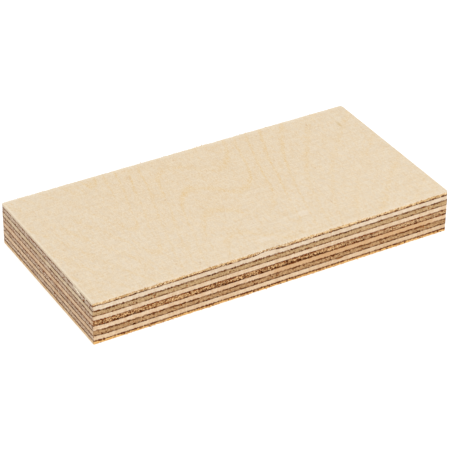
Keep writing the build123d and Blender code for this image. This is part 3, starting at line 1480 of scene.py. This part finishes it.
SLIVERS = [sliver_mesh(bend) for bend in SLIVER_BENDS]
print(f"a sliver has {len(SLIVERS[0].polygons)} faces")

# %% [markdown]
# ## Frayed edges
#
# The long edges of both face veneers are fuzzy with tiny slivers, well under a millimetre long.
# They stand thicker in some stretches than in others, and the front edge has more of them than
# the back. Random places with a noise that keeps or drops them give that.

# %% Frayed long edges
LONG_SIDES = (-1.0, 1.0)
FRAY_SEED = 11
FRAY_TONES = {
    TOP_PLY: (shade(228, 198, 142), shade(186, 140, 82)),
    BOTTOM_PLY: (shade(230, 190, 128), shade(188, 138, 78)),
}
FRAY_TRIES = {TOP_PLY: 1200, BOTTOM_PLY: 500}
FRAY_BAND = {TOP_PLY: (0.35, 1.0), BOTTOM_PLY: (0.05, 0.40)}
FRAY_TILT = {TOP_PLY: (-0.45, 0.75), BOTTOM_PLY: (-0.10, 0.25)}
FRAY_MARGIN = 0.5
FRAY_LEAN = 0.55
FRAY_LENGTH = (0.18, 0.62)
FRAY_WIDTH = (0.09, 0.21)
FRAY_ROOT_DEPTH = 0.06
FRAY_CLUSTER = 1.3
FRAY_CLUSTERING = 1.2
FRAY_SIDE_SEED = 5.0
FRAY_CHANCE = 0.35
FRAY_BACK = 0.3


def fray_edge(bm, chance, node, side):
    """Tufts of slivers along one long edge of a face veneer."""
    low = PLY_HEIGHTS[node][0]
    reach = BLOCK_LENGTH / 2 - FRAY_MARGIN
    for _ in range(FRAY_TRIES[node]):
        x = chance.uniform(-reach, reach)
        z = low + chance.uniform(*FRAY_BAND[node])
        luck = chance.random()
        tilt = Vector((chance.gauss(0.0, FRAY_LEAN), side, chance.uniform(*FRAY_TILT[node])))
        length = chance.uniform(*FRAY_LENGTH)
        width = chance.uniform(*FRAY_WIDTH)
        spin = chance.uniform(0.0, math.tau)
        template = chance.choice(SLIVERS)
        tuft = noise.noise(Vector((x / FRAY_CLUSTER, side * FRAY_SIDE_SEED, low)))
        if luck > (FRAY_CHANCE + FRAY_CLUSTERING * tuft) * (1.0 if side < 0.0 else FRAY_BACK):
            continue
        inset = arris_radius(node) * (1.0 - math.cos(QUARTER_TURN * arris_turn(node, z)))
        inset += corner_wear(Vector((x, side * BLOCK_WIDTH / 2, z)))
        root = Vector((x, side * (BLOCK_WIDTH / 2 - inset - FRAY_ROOT_DEPTH), z))
        plant_sliver(bm, template, root, tilt.normalized(), length, width, spin)


def add_frayed_edges(node):
    """The fuzzy long edges of one face veneer, as one piece."""
    chance = random.Random(FRAY_SEED)
    bm = bmesh.new()
    for side in LONG_SIDES:
        fray_edge(bm, chance, node, side)
    material = fibre_material(f"{node}_fray", *FRAY_TONES[node])
    return add_piece(f"{node}_fray", bm, material)


for node in FRAY_TONES:
    frayed = add_frayed_edges(node)
    print(f"{frayed.name}: {len(frayed.data.polygons)} faces")

# %% [markdown]
# ## Torn splinters
#
# On the short side a few pale splinters of the top veneer hang over the first glue line. They are
# slivers too, longer and wider, and lie almost flat on the wood, so each is placed one by one. Along
# the torn stretch of the front edge stand many short pale tufts, which random places suit better.

# %% Splinters and tufts
TUFT_SEED = 5
TUFT_COUNT = 60
TUFT_STRETCH = (-6.4, 4.6)
TUFT_HEIGHTS = (11.10, 11.68)
TUFT_LEAN = 0.6
TUFT_TILT = (-0.25, 1.2)
TUFT_LENGTH = (0.25, 0.60)
TUFT_WIDTH = (0.14, 0.30)
SPLINTERS = [
    # (place across the block, height) of the root and of the tip, then the width
    ((-15.3, 11.00), (-17.3, 10.62), 0.42),
    ((-16.4, 10.92), (-18.9, 10.28), 0.62),
    ((-17.8, 10.80), (-19.6, 10.36), 0.38),
    ((-21.5, 11.25), (-22.0, 10.35), 0.36),
    ((19.2, 10.95), (17.6, 10.55), 0.24),
]
SPLINTER_PALE = shade(248, 236, 212)
SPLINTER_DARK = shade(232, 213, 182)
SPLINTER_LIFT = 0.08
SPLINTER_SHAPES = SLIVERS[:2]


def plant_tufts(bm):
    """Pale tufts along the torn stretch of the front edge."""
    chance = random.Random(TUFT_SEED)
    for _ in range(TUFT_COUNT):
        root = Vector((
            chance.uniform(*TUFT_STRETCH),
            FRAY_ROOT_DEPTH - BLOCK_WIDTH / 2,
            chance.uniform(*TUFT_HEIGHTS),
        ))
        tilt = Vector((chance.gauss(0.0, TUFT_LEAN), -1.0, chance.uniform(*TUFT_TILT))).normalized()
        length = chance.uniform(*TUFT_LENGTH)
        width = chance.uniform(*TUFT_WIDTH)
        plant_sliver(bm, chance.choice(SLIVERS), root, tilt, length, width, chance.uniform(0.0, math.tau))


def add_splinters():
    """Splinters of the top veneer that hang over the short side and stand along the front edge."""
    bm = bmesh.new()
    wall = -BLOCK_LENGTH / 2
    for number, (root, tip, width) in enumerate(SPLINTERS):
        start = Vector((wall, *root))
        reach = Vector((wall - SPLINTER_LIFT, *tip)) - start
        template = SPLINTER_SHAPES[number % len(SPLINTER_SHAPES)]
        plant_sliver(bm, template, start, reach.normalized(), reach.length, width, QUARTER_TURN)
    plant_tufts(bm)
    material = fibre_material("splinter_birch", SPLINTER_PALE, SPLINTER_DARK)
    return add_piece("torn_splinters", bm, material)


splinters = add_splinters()
print(f"{splinters.name}: {len(splinters.data.polygons)} faces")
